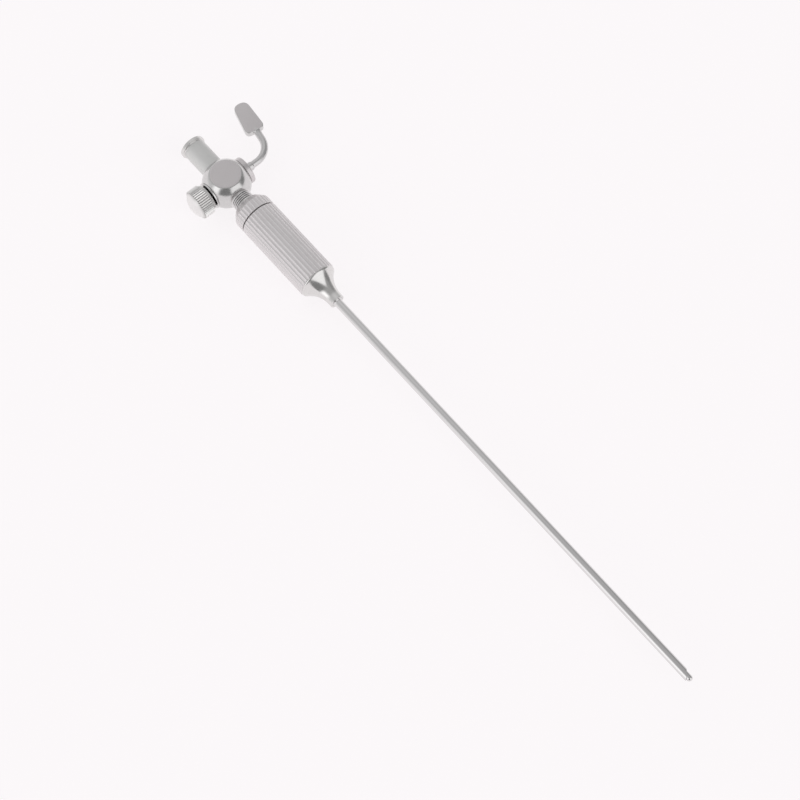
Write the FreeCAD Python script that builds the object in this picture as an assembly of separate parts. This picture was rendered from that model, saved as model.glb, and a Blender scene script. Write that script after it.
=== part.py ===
import FreeCAD, Part
import math
import os

# Veress needle, all sizes in millimetres.
# Frame: the origin is on the needle's axis in the end face of the nose. +X runs along the needle
# to its point, +Y is the side that the lever comes out of, and +Z is the upper flat of the valve.
# The needle and the fluted grip are one rigid body. The blunt stylet, its guide sleeve and the
# valve slide back together against a spring, and the key turns in the valve.

# Outer needle
needle_diameter = 2.5
needle_bore = 2.0
needle_reach = 142.1            # nose to the point of the bevel
bevel_length = 2.4
needle_shank_length = 6.0       # thicker shank brazed into the nose
needle_shank_wall = 0.4

# Blunt stylet
stylet_clearance = 0.1
stylet_wall = 0.3
stylet_proud = 0.9              # blunt end past the point, at rest
port_diameter = 0.9
port_setback = 2.1              # blunt end to the centre of the side port

# Nose
nose_face_radius = 2.25
nose_land = 0.6                 # straight part at the needle
nose_flare = 7.7                # hollow flare
nose_shoulder_radius = 5.72
nose_shoulder_land = 1.6
nose_spigot_length = 5.0

# Grip barrel and end cap
grip_radius = 5.87
flute_count = 32
flute_depth = 0.25
flute_land = 0.16               # width left on each crest
flute_floor = 0.36              # width of each flute's flat floor
grip_length = 26.1
grip_front_chamfer = 0.4
cap_length = 4.0
cap_rear_chamfer = 1.6
cap_spigot_length = 4.5
cap_lip_length = 1.4
cap_lip_clearance = 0.15

# Guide sleeve, bush and threaded stem
sleeve_radius = 3.25
sleeve_clearance = 0.05
sleeve_flat_height = 2.75       # axis to the flat that stops the sleeve from turning
bush_wall = 0.5
sleeve_exposed = 0.6            # plain sleeve seen behind the cap
stem_exposed = 2.5              # threaded part seen behind the sleeve
stem_thread_pitch = 0.7
stem_thread_depth = 0.32
stem_thread_turns = 3
stem_front_spigot_radius = 2.2
stem_front_spigot_length = 4.0
stem_rear_spigot_radius = 2.4
stem_rear_spigot_length = 2.0

# Return spring and the collar that it pushes
spring_wire = 0.6
spring_turns = 4
spring_inner_clearance = 0.25
spring_outer_clearance = 0.2
spring_end_gap = 0.1
collar_length = 2.2
collar_clearance = 0.08
collar_seat_radius = 2.35
stop_gap = 0.05                 # collar to the end of the nose's spigot, at rest

# Seal round the stylet
seal_section = 1.0
seal_clearance = 0.03
seal_side_gap = 0.05
seal_web = 4.0                  # wall between the needle's seat and the seal
seal_screw_wall = 0.7
seal_screw_length = 2.8
seal_screw_slot = 0.8
seal_screw_slot_depth = 0.6

# Valve body
ball_radius = 7.1
ball_flat_height = 5.4          # axis to the upper and lower flats
ball_front_seat = 6.3           # centre to the stem's seat
ball_rear_seat = 6.1            # centre to the socket's seat
ball_key_seat = 5.8             # centre to the seats at both ends of the key
passage_diameter = 2.5

# Luer socket
luer_tube_radius = 3.4
luer_length = 10.1
luer_flange_radius = 3.915
luer_flange_thickness = 1.1
luer_flange_chamfer = 0.22
luer_mouth_diameter = 4.275
luer_taper = 0.06               # loss of diameter for each unit of depth
luer_depth = 7.5
luer_floor_length = 0.7
luer_spigot_radius = 2.6
luer_spigot_length = 1.9

# Key: tapered plug, lever, washers and nut
plug_large_radius = 3.55        # in the plane of the lever side's seat
plug_taper = 0.05               # loss of radius for each unit of length
plug_clearance = 0.03
plug_recess = 0.3               # small end below its seat
plug_head_gap = 0.1
plug_head_radius = 4.15
plug_head_thickness = 1.4
plug_head_chamfer = 0.3
plug_square = 3.2
plug_thread_radius = 1.5
washer_radius = 4.2
washer_thickness = 0.5
washer_seat_gap = 0.05
spring_washer_radius = 3.0
spring_washer_thickness = 0.5
nut_radius = 4.6
nut_collar_radius = 3.9         # plain front face, and the taper from it to the knurl
nut_collar_length = 1.0
nut_knurl_count = 40
nut_knurl_depth = 0.22
nut_knurl_land = 0.12
nut_knurl_length = 3.25
nut_end_radius = 4.3
nut_end_length = 1.75
nut_floor = 1.2
lever_radius = 1.05
lever_seat = 2.2                # depth in the plug's head
lever_collar_radius = 1.3       # plain collar on the plug's head
lever_collar_length = 2.0
lever_bend_start = 10.9         # needle's axis to the start of the bend
lever_bend_radius = 6.0
lever_splay = 10.0              # degrees away from the needle's axis
lever_run = 2.8                 # end of the bend to the paddle
lever_tongue_radius = 0.7
lever_tongue_length = 3.0
paddle_length = 10.4
paddle_near_width = 6.1
paddle_far_width = 4.3
paddle_thickness = 2.0
paddle_near_round = 1.6
paddle_far_round = 2.0
paddle_edge_chamfer = 0.25

braze_gap = 0.02                # all round a part that is brazed or screwed into another

# Radii that follow from the fits
needle_radius = needle_diameter / 2
needle_bore_radius = needle_bore / 2
needle_shank_radius = needle_radius + needle_shank_wall
stylet_radius = needle_bore_radius - stylet_clearance
stylet_bore_radius = stylet_radius - stylet_wall
spring_inner_radius = sleeve_radius + spring_inner_clearance
chamber_radius = spring_inner_radius + spring_wire + spring_outer_clearance
collar_radius = chamber_radius - collar_clearance
bush_radius = sleeve_radius + bush_wall
seal_inner_radius = stylet_radius + seal_clearance
seal_gland_radius = seal_inner_radius + seal_section + seal_side_gap
seal_screw_radius = seal_gland_radius + seal_screw_wall
passage_radius = passage_diameter / 2

# Stations along the needle's axis
stylet_end_x = needle_reach + stylet_proud
nose_shoulder_x = -nose_land - nose_flare
grip_front_x = nose_shoulder_x - nose_shoulder_land
nose_spigot_x = grip_front_x - nose_spigot_length
collar_front_x = nose_spigot_x - stop_gap
collar_rear_x = collar_front_x - collar_length
grip_rear_x = grip_front_x - grip_length
cap_spigot_x = grip_rear_x + cap_spigot_length
cap_rear_x = grip_rear_x - cap_length
sleeve_rear_x = cap_rear_x - sleeve_exposed
ball_front_x = sleeve_rear_x - stem_exposed
stem_rear_x = ball_front_x - stem_rear_spigot_length
ball_x = ball_front_x - ball_front_seat
ball_rear_x = ball_x - ball_rear_seat
luer_mouth_x = ball_rear_x - luer_length
seal_front_x = -needle_shank_length - seal_web
seal_rear_x = seal_front_x - seal_section - 2 * seal_side_gap
seal_screw_rear_x = seal_rear_x - seal_screw_length

# Stations along the key's axis, from the needle's axis
plug_head_y = ball_key_seat + plug_head_gap
plug_top_y = plug_head_y + plug_head_thickness
plug_small_y = -ball_key_seat + plug_recess
washer_y = -ball_key_seat - washer_seat_gap
spring_washer_y = washer_y - washer_thickness
nut_y = spring_washer_y - spring_washer_thickness
nut_knurl_y = nut_y - nut_collar_length
nut_knurl_end_y = nut_knurl_y - nut_knurl_length
nut_end_y = nut_knurl_end_y - nut_end_length
plug_square_y = spring_washer_y
plug_tail_y = nut_end_y + nut_floor + braze_gap
lever_foot_y = plug_top_y - lever_seat


def rod(radius, start, end):
    """Round bar on the X axis between two stations."""
    low = min(start, end)
    return Part.makeCylinder(radius, abs(end - start), FreeCAD.Vector(low, 0, 0),
                             FreeCAD.Vector(1, 0, 0))


def taper(start_radius, end_radius, start, end):
    """Round bar on the X axis whose radius goes from one value to the other."""
    low, low_radius, high, high_radius = start, start_radius, end, end_radius
    if start > end:
        low, low_radius, high, high_radius = end, end_radius, start, start_radius
    if abs(low_radius - high_radius) < 1e-9:
        return rod(low_radius, low, high)
    return Part.makeCone(low_radius, high_radius, high - low, FreeCAD.Vector(low, 0, 0),
                         FreeCAD.Vector(1, 0, 0))


def turned(profile):
    """Solid of revolution about the X axis. The profile is a list of (x, radius) corners."""
    corners = [FreeCAD.Vector(x, radius, 0) for x, radius in profile]
    wire = Part.makePolygon(corners + [corners[0]])
    return Part.Face(wire).revolve(FreeCAD.Vector(), FreeCAD.Vector(1, 0, 0), 360)


def ring(ring_radius, section, angle):
    """Part of a ring about the X axis, with a square section."""
    half = section / 2
    corners = [FreeCAD.Vector(x, ring_radius + y, 0)
               for x, y in [(-half, -half), (half, -half), (half, half), (-half, half)]]
    face = Part.Face(Part.makePolygon(corners + [corners[0]]))
    return face.revolve(FreeCAD.Vector(), FreeCAD.Vector(1, 0, 0), angle)


def on_key_axis(shape):
    """Turns a part made on the X axis so that it lies on the key's axis, with +X as +Y."""
    placed = shape.copy()
    placed.rotate(FreeCAD.Vector(), FreeCAD.Vector(0, 0, 1), 90)
    placed.translate(FreeCAD.Vector(ball_x, 0, 0))
    return placed


def half_space_below(height, start, end, reach):
    """Block under a level plane, used to cut a flat along a round part."""
    return Part.makeBox(end - start, 2 * reach, reach, FreeCAD.Vector(start, -reach, -height - reach))


def fluted_bar(radius, count, depth, land, floor, start, end):
    """Bar with flutes along it, whose floor is flat or a line. One flute lies straight below the axis."""
    pitch = 2 * math.pi / count
    half_land = land / radius / 2
    half_floor = floor / radius / 2

    def point(angle, distance):
        return FreeCAD.Vector(start, distance * math.cos(angle), distance * math.sin(angle))

    outline = []
    for index in range(count):
        crest = (index + 0.5) * pitch
        valley = crest + pitch / 2
        outline += [point(crest - half_land, radius), point(crest + half_land, radius),
                    point(valley - half_floor, radius - depth)]
        if floor > 0:
            outline.append(point(valley + half_floor, radius - depth))
    return Part.Face(Part.makePolygon(outline + [outline[0]])).extrude(FreeCAD.Vector(end - start, 0, 0))


def outer_cannula():
    """Steel tube with a slanted point that opens to the lever's side, and a thicker shank."""
    tube = rod(needle_radius, 0, needle_reach).fuse(rod(needle_shank_radius, -needle_shank_length, 0))
    tube = tube.cut(rod(needle_bore_radius, -needle_shank_length, needle_reach))
    heel_x = needle_reach - bevel_length
    slope = bevel_length / needle_diameter
    over = needle_radius
    corners = [FreeCAD.Vector(heel_x - over * slope, needle_radius + over, -needle_diameter),
               FreeCAD.Vector(needle_reach + over * slope, -needle_radius - over, -needle_diameter),
               FreeCAD.Vector(needle_reach + over * slope, needle_radius + over, -needle_diameter)]
    wedge = Part.Face(Part.makePolygon(corners + [corners[0]]))
    return tube.cut(wedge.extrude(FreeCAD.Vector(0, 0, 2 * needle_diameter)))


def nose_cone():
    """Polished nose: hollow flare from the needle to the grip, and the spigot behind it."""
    rise = nose_shoulder_radius - nose_face_radius
    flare_pull = (nose_flare ** 2 + rise ** 2) / (2 * nose_flare)
    spigot_radius = chamber_radius - braze_gap
    flare_start = FreeCAD.Vector(-nose_land, nose_face_radius, 0)
    flare_end = FreeCAD.Vector(nose_shoulder_x, nose_shoulder_radius, 0)
    flare = Part.BezierCurve()
    flare.setPoles([flare_start, flare_start - FreeCAD.Vector(flare_pull, 0, 0), flare_end])
    rest = [flare_end, FreeCAD.Vector(grip_front_x, nose_shoulder_radius, 0),
            FreeCAD.Vector(grip_front_x, spigot_radius, 0), FreeCAD.Vector(nose_spigot_x, spigot_radius, 0),
            FreeCAD.Vector(nose_spigot_x, 0, 0), FreeCAD.Vector(), FreeCAD.Vector(0, nose_face_radius, 0),
            flare_start]
    edges = [flare.toShape()] + [Part.makeLine(rest[i], rest[i + 1]) for i in range(len(rest) - 1)]
    body = Part.Face(Part.Wire(edges)).revolve(FreeCAD.Vector(), FreeCAD.Vector(1, 0, 0), 360)
    body = body.cut(rod(needle_shank_radius + braze_gap, -needle_shank_length, 0))
    body = body.cut(rod(needle_bore_radius, seal_front_x, -needle_shank_length))
    body = body.cut(rod(seal_gland_radius, seal_rear_x, seal_front_x))
    return body.cut(rod(seal_screw_radius + braze_gap, nose_spigot_x, seal_rear_x))


def seal_ring():
    """Silicone ring that holds the gas back round the stylet."""
    seal = ring(seal_inner_radius + seal_section / 2, seal_section, 360)
    seal.translate(FreeCAD.Vector((seal_front_x + seal_rear_x) / 2, 0, 0))
    return seal


def seal_screw():
    """Hollow slotted screw that keeps the O-ring in the nose."""
    screw = rod(seal_screw_radius, seal_screw_rear_x, seal_rear_x)
    screw = screw.cut(rod(needle_bore_radius, seal_screw_rear_x, seal_rear_x))
    slot = Part.makeBox(seal_screw_slot_depth, 2 * seal_screw_radius, seal_screw_slot,
                        FreeCAD.Vector(seal_screw_rear_x, -seal_screw_radius, -seal_screw_slot / 2))
    return screw.cut(slot)


def fluted_grip(start, end):
    """Fluted bar of the grip's section between two stations."""
    return fluted_bar(grip_radius, flute_count, flute_depth, flute_land, flute_floor, start, end)


def grip_barrel():
    """Fluted steel grip that holds the spring, chamfered at the front."""
    blank = turned([(grip_rear_x, 0), (grip_rear_x, grip_radius),
                    (grip_front_x - grip_front_chamfer, grip_radius),
                    (grip_front_x, grip_radius - grip_front_chamfer), (grip_front_x, 0)])
    bar = fluted_grip(grip_rear_x, grip_front_x).common(blank)
    return bar.cut(rod(chamber_radius, grip_rear_x, grip_front_x))


def end_cap():
    """Fluted cap screwed into the grip. Its bore holds the guide bush behind a lip."""
    blank = turned([(cap_rear_x, 0), (cap_rear_x, grip_radius - cap_rear_chamfer),
                    (cap_rear_x + cap_rear_chamfer, grip_radius), (grip_rear_x, grip_radius),
                    (grip_rear_x, 0)])
    bar = fluted_grip(cap_rear_x, grip_rear_x).common(blank)
    bar = bar.fuse(rod(chamber_radius - braze_gap, grip_rear_x, cap_spigot_x)).removeSplitter()
    bar = bar.cut(rod(bush_radius + braze_gap, cap_rear_x + cap_lip_length, cap_spigot_x))
    return bar.cut(rod(sleeve_radius + cap_lip_clearance, cap_rear_x, cap_rear_x + cap_lip_length))


def flatted_bar(radius, flat_height, start, end):
    """Round bar with one flat along its underside."""
    return rod(radius, start, end).cut(half_space_below(flat_height, start, end, 2 * radius))


def guide_bush():
    """Plastic bush pressed into the cap. The flat in its bore keeps the sleeve from turning."""
    rear_x = cap_rear_x + cap_lip_length
    bush = rod(bush_radius, rear_x, cap_spigot_x)
    bore = flatted_bar(sleeve_radius + sleeve_clearance, sleeve_flat_height + sleeve_clearance,
                       rear_x, cap_spigot_x)
    return bush.cut(bore)


def return_spring():
    """Compression spring between the cap and the collar, drawn at its length at rest.

    Each half turn is half a ring, tilted one way and then the other, so the wire runs on smoothly.
    """
    coil_radius = spring_inner_radius + spring_wire / 2
    start_x = cap_spigot_x + spring_end_gap + spring_wire / 2
    end_x = collar_rear_x - spring_end_gap - spring_wire / 2
    half_pitch = (end_x - start_x) / spring_turns / 2
    tilt = math.atan2(half_pitch, 2 * coil_radius)
    half_ring = ring(coil_radius / math.cos(tilt), spring_wire, 180)
    turns = []
    for index in range(2 * spring_turns):
        piece = half_ring.copy()
        piece.rotate(FreeCAD.Vector(), FreeCAD.Vector(1, 0, 0), 180 * index)
        piece.rotate(FreeCAD.Vector(), FreeCAD.Vector(0, 0, 1), -math.degrees(tilt) * (-1) ** index)
        piece.translate(FreeCAD.Vector(start_x + (index + 0.5) * half_pitch, 0, 0))
        turns.append(piece)
    return turns[0].fuse(turns[1:])


def spring_collar():
    """Ring at the front of the sleeve: the spring pushes on it, and it stops on the nose."""
    ring = rod(collar_radius, collar_rear_x, collar_front_x)
    return ring.cut(rod(collar_seat_radius + braze_gap, collar_rear_x, collar_front_x))


def guide_sleeve():
    """Sliding sleeve with a flat below, stepped at the front for the collar."""
    sleeve = flatted_bar(sleeve_radius, sleeve_flat_height, sleeve_rear_x, collar_rear_x)
    sleeve = sleeve.fuse(rod(collar_seat_radius, collar_rear_x, collar_front_x)).removeSplitter()
    stem_hole_x = sleeve_rear_x + stem_front_spigot_length
    sleeve = sleeve.cut(rod(stem_front_spigot_radius + braze_gap, sleeve_rear_x, stem_hole_x))
    return sleeve.cut(rod(stylet_radius + braze_gap, stem_hole_x, collar_front_x))


def threaded_stem():
    """Threaded neck between the valve and the sleeve, with a spigot at each end."""
    profile = [(ball_front_x, 0), (ball_front_x, sleeve_radius)]
    thread_start_x = ball_front_x + (stem_exposed - stem_thread_turns * stem_thread_pitch) / 2
    for turn in range(stem_thread_turns):
        groove_x = thread_start_x + turn * stem_thread_pitch
        profile.append((groove_x, sleeve_radius))
        profile.append((groove_x + stem_thread_pitch / 2, sleeve_radius - stem_thread_depth))
    profile.append((thread_start_x + stem_thread_turns * stem_thread_pitch, sleeve_radius))
    profile += [(sleeve_rear_x, sleeve_radius), (sleeve_rear_x, 0)]
    stem = turned(profile)
    stem = stem.fuse(rod(stem_rear_spigot_radius, stem_rear_x, ball_front_x))
    stem = stem.fuse(rod(stem_front_spigot_radius, sleeve_rear_x,
                         sleeve_rear_x + stem_front_spigot_length - braze_gap)).removeSplitter()
    return stem.cut(rod(stylet_radius + braze_gap, stem_rear_x, sleeve_rear_x + stem_front_spigot_length))


def blunt_stylet():
    """Inner tube with a closed round end and a side port just behind it."""
    dome_x = stylet_end_x - stylet_radius
    tube = rod(stylet_radius, stem_rear_x, dome_x)
    tube = tube.fuse(Part.makeSphere(stylet_radius, FreeCAD.Vector(dome_x, 0, 0))).removeSplitter()
    tube = tube.cut(rod(stylet_bore_radius, stem_rear_x, dome_x))
    port = Part.makeCylinder(port_diameter / 2, stylet_radius,
                             FreeCAD.Vector(stylet_end_x - port_setback, 0, 0), FreeCAD.Vector(0, 1, 0))
    return tube.cut(port)


def plug_radius_at(y):
    """Radius of the tapered plug at a station on the key's axis."""
    return plug_large_radius - plug_taper * (ball_key_seat - y)


def valve_body():
    """Ball cut flat above and below, with seats for the stem, the socket and the key."""
    reach = 2 * ball_radius
    ball = Part.makeSphere(ball_radius, FreeCAD.Vector(ball_x, 0, 0))
    blank = Part.makeBox(ball_front_seat + ball_rear_seat, 2 * ball_key_seat, 2 * ball_flat_height,
                         FreeCAD.Vector(ball_rear_x, -ball_key_seat, -ball_flat_height))
    body = ball.common(blank)
    body = body.cut(rod(passage_radius, ball_x - reach, ball_x + reach))
    body = body.cut(rod(stem_rear_spigot_radius + braze_gap, stem_rear_x, ball_front_x))
    body = body.cut(rod(luer_spigot_radius + braze_gap, ball_rear_x, ball_rear_x + luer_spigot_length))
    socket = taper(plug_radius_at(-ball_key_seat) + plug_clearance, plug_radius_at(ball_key_seat)
                   + plug_clearance, -ball_key_seat, ball_key_seat)
    return body.cut(on_key_axis(socket))


def luer_socket():
    """Female conical socket with a locking rim, brazed into the valve."""
    rim_front_x = luer_mouth_x + luer_flange_thickness
    rim_edge_radius = luer_flange_radius - luer_flange_chamfer
    shell = turned([(luer_mouth_x, 0), (luer_mouth_x, rim_edge_radius),
                    (luer_mouth_x + luer_flange_chamfer, luer_flange_radius),
                    (rim_front_x - luer_flange_chamfer, luer_flange_radius), (rim_front_x, rim_edge_radius),
                    (rim_front_x, luer_tube_radius), (ball_rear_x, luer_tube_radius),
                    (ball_rear_x, luer_spigot_radius),
                    (ball_rear_x + luer_spigot_length - braze_gap, luer_spigot_radius),
                    (ball_rear_x + luer_spigot_length - braze_gap, 0)])
    mouth_radius = luer_mouth_diameter / 2
    floor_radius = mouth_radius - luer_taper * luer_depth / 2
    floor_x = luer_mouth_x + luer_depth
    shell = shell.cut(taper(mouth_radius, floor_radius, luer_mouth_x, floor_x))
    shell = shell.cut(taper(floor_radius, passage_radius, floor_x, floor_x + luer_floor_length))
    return shell.cut(rod(passage_radius, floor_x, ball_rear_x + luer_spigot_length))


def valve_plug():
    """Tapered plug with a cross bore, a round head, a square and a threaded tail."""
    plug = taper(plug_radius_at(plug_small_y), plug_radius_at(plug_head_y), plug_small_y, plug_head_y)
    head = turned([(plug_head_y, 0), (plug_head_y, plug_head_radius - plug_head_chamfer),
                   (plug_head_y + plug_head_chamfer, plug_head_radius),
                   (plug_top_y - plug_head_chamfer, plug_head_radius),
                   (plug_top_y, plug_head_radius - plug_head_chamfer), (plug_top_y, 0)])
    square = Part.makeBox(plug_small_y - plug_square_y, plug_square, plug_square,
                          FreeCAD.Vector(plug_square_y, -plug_square / 2, -plug_square / 2))
    tail = rod(plug_thread_radius, plug_tail_y, plug_square_y)
    key = plug.fuse([head, square, tail]).removeSplitter()
    key = key.cut(rod(lever_radius + braze_gap, lever_foot_y, plug_top_y))
    return on_key_axis(key).cut(rod(passage_radius, ball_x - ball_radius, ball_x + ball_radius))


def key_washer():
    """Washer with a square hole, which turns with the plug."""
    side = plug_square + 2 * braze_gap
    washer = rod(washer_radius, spring_washer_y, washer_y)
    hole = Part.makeBox(washer_thickness, side, side,
                        FreeCAD.Vector(spring_washer_y, -side / 2, -side / 2))
    return on_key_axis(washer.cut(hole))


def spring_washer():
    """Smaller washer that keeps the plug drawn into its taper."""
    washer = rod(spring_washer_radius, nut_y, spring_washer_y)
    return on_key_axis(washer.cut(rod(plug_thread_radius + braze_gap, nut_y, spring_washer_y)))


def thumb_nut():
    """Knurled nut with a smooth rounded end and a blind thread."""
    knurl = fluted_bar(nut_radius, nut_knurl_count, nut_knurl_depth, nut_knurl_land, 0,
                       nut_knurl_end_y, nut_knurl_y)
    root_radius = nut_radius - nut_knurl_depth
    collar = taper(root_radius, nut_collar_radius, nut_knurl_y, nut_y)
    dome_radius = (nut_end_radius ** 2 + nut_end_length ** 2) / (2 * nut_end_length)
    dome = Part.makeSphere(dome_radius, FreeCAD.Vector(nut_end_y + dome_radius, 0, 0))
    dome = dome.common(rod(nut_radius, nut_end_y, nut_knurl_end_y))
    nut = knurl.fuse([collar, dome])
    return on_key_axis(nut.cut(rod(plug_thread_radius + braze_gap, nut_end_y + nut_floor, nut_y)))


def lever_stations():
    """End of the lever's bend, its direction there, and where the paddle starts."""
    turn = math.radians(90 - lever_splay)
    bend_end = FreeCAD.Vector(ball_x - lever_bend_radius * (1 - math.cos(turn)),
                              lever_bend_start + lever_bend_radius * math.sin(turn), 0)
    direction = FreeCAD.Vector(-math.sin(turn), math.cos(turn), 0)
    return bend_end, direction, bend_end + direction * lever_run


def lever_arm():
    """Round steel rod: out of the plug, round the bend and into the paddle."""
    bend_end, direction, paddle_start = lever_stations()
    foot = FreeCAD.Vector(ball_x, lever_foot_y + braze_gap, 0)
    bend_start = FreeCAD.Vector(ball_x, lever_bend_start, 0)
    half_turn = math.radians(90 - lever_splay) / 2
    middle = FreeCAD.Vector(ball_x - lever_bend_radius * (1 - math.cos(half_turn)),
                            lever_bend_start + lever_bend_radius * math.sin(half_turn), 0)
    path = Part.Wire([Part.makeLine(foot, bend_start), Part.Arc(bend_start, middle, bend_end).toShape(),
                      Part.makeLine(bend_end, paddle_start)])
    section = Part.Wire(Part.makeCircle(lever_radius, foot, FreeCAD.Vector(0, 1, 0)))
    arm = path.makePipeShell([section], True, False)
    collar = on_key_axis(rod(lever_collar_radius, plug_top_y, plug_top_y + lever_collar_length))
    tongue = Part.makeCylinder(lever_tongue_radius, lever_tongue_length + lever_radius,
                               paddle_start - direction * lever_radius, direction)
    return arm.fuse([collar, tongue]).removeSplitter()


def lever_paddle():
    """Flat tapered finger plate, brazed on the lever's tongue."""
    direction, paddle_start = lever_stations()[1:]
    near, far, depth = paddle_near_width / 2, paddle_far_width / 2, paddle_thickness / 2
    corners = [FreeCAD.Vector(0, -near, -depth), FreeCAD.Vector(paddle_length, -far, -depth),
               FreeCAD.Vector(paddle_length, far, -depth), FreeCAD.Vector(0, near, -depth)]
    plate = Part.Face(Part.makePolygon(corners + [corners[0]]))
    plate = plate.extrude(FreeCAD.Vector(0, 0, paddle_thickness))
    upright = [edge for edge in plate.Edges if edge.BoundBox.ZLength > depth]
    near_edges = [edge for edge in upright if edge.BoundBox.XMax < paddle_length / 2]
    far_edges = [edge for edge in upright if edge.BoundBox.XMin > paddle_length / 2]
    plate = plate.makeFillet(paddle_near_round, near_edges)
    far_points = [edge.CenterOfMass for edge in far_edges]
    far_edges = [edge for edge in plate.Edges
                 if any((edge.CenterOfMass - point).Length < 1e-6 for point in far_points)]
    plate = plate.makeFillet(min(paddle_far_round, 0.95 * far), far_edges)
    rims = [edge for edge in plate.Edges if edge.BoundBox.ZLength < 1e-6]
    plate = plate.makeChamfer(paddle_edge_chamfer, rims)
    plate = plate.cut(rod(lever_tongue_radius + braze_gap, 0, lever_tongue_length + braze_gap))
    plate.rotate(FreeCAD.Vector(), FreeCAD.Vector(0, 0, 1),
                 math.degrees(math.atan2(direction.y, direction.x)))
    plate.translate(paddle_start)
    return plate


PARTS = [outer_cannula, nose_cone, seal_ring, seal_screw, grip_barrel, end_cap, guide_bush,
         return_spring, spring_collar, guide_sleeve, threaded_stem, blunt_stylet, valve_body,
         luer_socket, valve_plug, lever_arm, lever_paddle, key_washer, spring_washer, thumb_nut]

os.makedirs("parts", exist_ok=True)
for make in PARTS:
    make().exportStep("parts/" + make.__name__ + ".step")
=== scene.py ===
import bpy
import math
import numpy as np
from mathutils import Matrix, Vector


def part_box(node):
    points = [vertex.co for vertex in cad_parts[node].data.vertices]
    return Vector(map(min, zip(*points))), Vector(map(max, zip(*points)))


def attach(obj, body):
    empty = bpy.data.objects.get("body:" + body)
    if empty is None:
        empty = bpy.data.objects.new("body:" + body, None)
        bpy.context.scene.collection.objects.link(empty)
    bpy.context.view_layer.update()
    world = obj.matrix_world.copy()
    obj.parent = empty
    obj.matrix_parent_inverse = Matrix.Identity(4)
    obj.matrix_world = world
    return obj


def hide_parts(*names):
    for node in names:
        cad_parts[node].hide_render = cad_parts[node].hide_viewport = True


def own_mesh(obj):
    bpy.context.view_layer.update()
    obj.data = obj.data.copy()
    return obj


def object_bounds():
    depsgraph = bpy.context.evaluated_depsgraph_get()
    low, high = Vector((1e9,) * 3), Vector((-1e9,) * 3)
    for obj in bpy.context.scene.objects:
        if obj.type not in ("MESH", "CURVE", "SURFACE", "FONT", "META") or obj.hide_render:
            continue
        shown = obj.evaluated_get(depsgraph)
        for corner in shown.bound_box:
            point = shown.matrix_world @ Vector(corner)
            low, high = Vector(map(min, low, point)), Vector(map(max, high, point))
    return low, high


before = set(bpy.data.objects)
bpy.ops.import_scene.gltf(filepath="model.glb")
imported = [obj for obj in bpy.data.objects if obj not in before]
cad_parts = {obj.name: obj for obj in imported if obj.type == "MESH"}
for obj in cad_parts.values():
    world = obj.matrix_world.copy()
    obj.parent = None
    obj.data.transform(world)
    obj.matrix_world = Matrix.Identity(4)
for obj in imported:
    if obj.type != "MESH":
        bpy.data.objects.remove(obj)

cad_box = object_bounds()


# The outer needle is a drawn steel tube, ground off at a slant with its point on the side away from
# the lever. A thicker shank is brazed into the nose, and the braze shows as a small fillet. Its sizes
# are in millimetres, as all sizes of the pieces are.
mm = 0.001
sharp = 0
shortest_step = 1e-5
crease = math.radians(35)


def reach_x(node):
    """Lowest and highest X of a CAD node, in millimetres."""
    low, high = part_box(node)
    return low.x / mm, high.x / mm


def around(sides):
    """Angles evenly round a full turn, from 0 in steps of a full turn over the number of sides."""
    return np.linspace(0, 2 * np.pi, sides, endpoint=False)


def outline(corners, steps=8):
    """Closed line through corners, each given as two coordinates and a cut.

    Round a corner the line leaves its side at the cut's distance and joins the next side at the same
    distance, along the curve (1-t)^2 start + 2t(1-t) corner + t^2 end.
    """
    corners = np.array(corners, float)
    place = corners[:, :2]
    cut = corners[:, 2:]
    back = np.roll(place, 1, axis=0) - place
    ahead = np.roll(place, -1, axis=0) - place
    start = place + cut * back / np.linalg.norm(back, axis=1, keepdims=True)
    end = place + cut * ahead / np.linalg.norm(ahead, axis=1, keepdims=True)
    t = np.linspace(0, 1, steps)[:, None, None]
    curve = (1 - t) ** 2 * start + 2 * t * (1 - t) * place + t ** 2 * end
    line = curve.transpose(1, 0, 2).reshape(-1, 2)
    step_length = np.linalg.norm(line - np.roll(line, 1, axis=0), axis=1)
    return line[step_length > shortest_step]


def about_needle(station, radius, angle):
    """Points on rings about the needle's axis: Y is radius times cosine, and Z radius times sine."""
    return np.stack(np.broadcast_arrays(station, radius * np.cos(angle), radius * np.sin(angle)), axis=-1)


def skin(name, rings, loop=True, hollow=None):
    """Mesh through rings of points in millimetres, given as an array of rings by points by 3.

    Four-sided faces join each ring to the next. In a loop the last ring joins the first, and
    otherwise triangles round a middle point close both ends. A share from 0 to 1 at each point, such
    as how far it lies down in a groove, goes with the mesh as its hollow attribute.
    """
    count, sides = rings.shape[:2]
    grid = np.arange(count * sides).reshape(count, sides)
    first = grid[0]
    last = grid[-1]
    if loop:
        grid = np.vstack([grid, grid[:1]])
    here = grid[:-1]
    above = grid[1:]
    faces = np.stack([here, np.roll(here, -1, axis=1), np.roll(above, -1, axis=1), above], axis=-1)
    faces = faces.reshape(-1, 4).tolist()
    points = rings.reshape(-1, 3)
    if not loop:
        points = np.vstack([points, rings[0].mean(axis=0), rings[-1].mean(axis=0)])
        middle = np.full(sides, count * sides)
        faces += np.stack([np.roll(first, -1), first, middle], axis=-1).tolist()
        faces += np.stack([last, np.roll(last, -1), middle + 1], axis=-1).tolist()
    mesh = bpy.data.meshes.new(name)
    mesh.from_pydata((points * mm).tolist(), [], faces)
    mesh.shade_smooth()
    mesh.set_sharp_from_angle(angle=crease)
    if hollow is not None:
        share = np.zeros(len(mesh.vertices), np.float32)
        share[:count * sides] = np.broadcast_to(hollow, (count, sides)).ravel()
        mesh.attributes.new("hollow", "FLOAT", "POINT").data.foreach_set("value", share)
    piece = bpy.data.objects.new(name, mesh)
    bpy.context.scene.collection.objects.link(piece)
    return piece


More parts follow.
